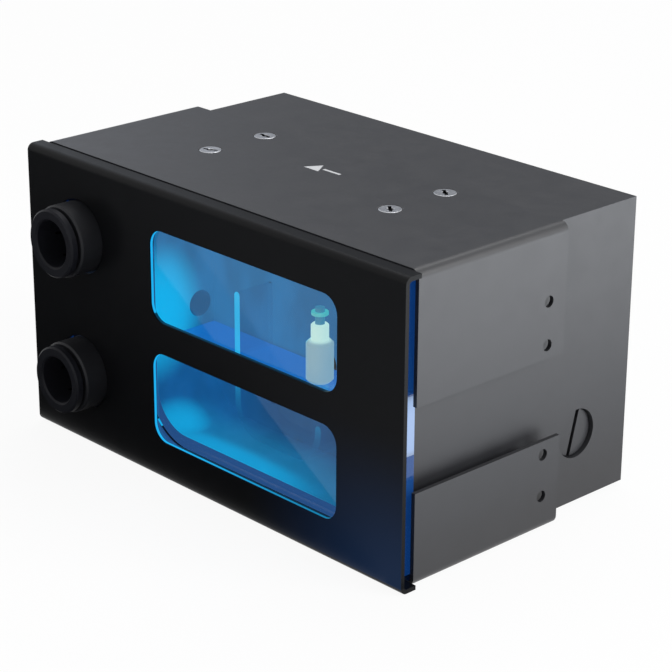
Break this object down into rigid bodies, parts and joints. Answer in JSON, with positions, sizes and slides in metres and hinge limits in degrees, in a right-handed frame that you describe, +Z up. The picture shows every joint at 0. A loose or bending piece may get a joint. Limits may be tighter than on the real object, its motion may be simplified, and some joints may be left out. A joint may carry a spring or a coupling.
{
  "type": "coolant pump reservoir",
  "caption": "Two-bay coolant reservoir with a built-in pump: windowed front panel with push-in tube ports, blue-lit tank with level float, U brackets and rear pump block with side plug.",
  "frame": {"origin": "on the ground under the middle of the unit, halfway between the collets' faces and the rear cover", "axes": "+X across the unit to its right as seen from the front, +Y from the front panel to the rear, +Z up"},
  "size_m": [0.1486, 0.1004, 0.0838],
  "materials": {
    "panel_coat": "fine matt black powder coat",
    "bracket_coat": "satin black powder coat",
    "steel": "bright steel screw",
    "clear_plate": "clear cast acrylic, tinted by blue light",
    "baffle_acrylic": "acrylic with a bright cyan edge",
    "rubber": "black sealing rubber",
    "light_guide": "milky light guide",
    "board": "green circuit board",
    "sensor_plastic": "pale grey plastic",
    "float_plastic": "white foam-filled plastic",
    "connector_plastic": "fine matt charcoal plastic",
    "spring_steel": "stamped stainless steel",
    "acetal": "machined black acetal",
    "impeller_plastic": "moulded blue plastic",
    "magnet": "plastic-bonded ferrite",
    "carbon": "carbon graphite",
    "ceramic": "ground white ceramic",
    "stainless": "deep-drawn stainless steel",
    "lamination": "stacked electrical steel",
    "copper": "enamelled copper winding",
    "motor_plastic": "glass-filled black plastic",
    "plug_coat": "satin black plated brass"
  },
  "bodies": {
    "unit": {"front_panel": "panel_coat", "top_bracket": "bracket_coat", "bottom_bracket": "bracket_coat", "top_bracket_screws": "steel", "bottom_bracket_screws": "steel", "window_plate": "clear_plate", "window_seal": "rubber", "tank_body": "acetal", "tank_back": "acetal", "tank_screws": "steel", "flow_baffle": "baffle_acrylic", "left_light_guide": "light_guide", "right_light_guide": "light_guide", "light_boards": "board", "level_sensor_stem": "sensor_plastic", "float_clips": "sensor_plastic", "pump_housing": "acetal", "joint_seals": "rubber", "pump_shaft": "ceramic", "separating_can": "stainless", "pump_seal": "rubber", "stator_core": "lamination", "stator_coils": "copper", "motor_shell": "motor_plastic", "control_board": "board", "pump_screws": "steel", "rear_cover": "bracket_coat", "rear_cover_screws": "steel", "power_socket": "connector_plastic", "upper_connector_body": "connector_plastic", "upper_grab_ring": "spring_steel", "upper_tube_seal": "rubber", "upper_port_seal": "rubber", "lower_connector_body": "connector_plastic", "lower_grab_ring": "spring_steel", "lower_tube_seal": "rubber", "lower_port_seal": "rubber"},
    "upper_collet": {"upper_collet": "connector_plastic"},
    "lower_collet": {"lower_collet": "connector_plastic"},
    "float": {"level_float": "float_plastic"},
    "rotor": {"impeller": "impeller_plastic", "rotor_magnet": "magnet", "rotor_bush": "carbon"},
    "plug_washer": {"side_plug_seal": "rubber"},
    "plug": {"side_plug": "plug_coat"}
  },
  "joints": [
    {"name": "upper_collet_press", "type": "slide", "parent": "unit", "child": "upper_collet", "axis": [0, 1, 0], "range_m": [0, 0.001], "stiffness_N_per_m": 250, "springref_m": -0.0006},
    {"name": "lower_collet_press", "type": "slide", "parent": "unit", "child": "lower_collet", "axis": [0, 1, 0], "range_m": [0, 0.001], "stiffness_N_per_m": 250, "springref_m": -0.0006},
    {"name": "float_rise", "type": "slide", "parent": "unit", "child": "float", "axis": [0, 0, 1], "range_m": [0, 0.0025]},
    {"name": "rotor_spin", "type": "hinge", "parent": "unit", "child": "rotor", "pos_m": [0.014, 0.01947, 0.036], "axis": [0, 1, 0], "continuous": true},
    {"name": "plug_travel", "type": "slide", "parent": "unit", "child": "plug_washer", "axis": [1, 0, 0], "range_m": [0, 0.00669]},
    {"name": "plug_turn", "type": "hinge", "parent": "plug_washer", "child": "plug", "pos_m": [0.067, 0.03027, 0.021], "axis": [1, 0, 0], "range_deg": [0, 1800]}
  ],
  "couplings": [
    {"joint": "plug_travel", "follows": "plug_turn", "m_per_rad": 0.00021279}
  ]
}
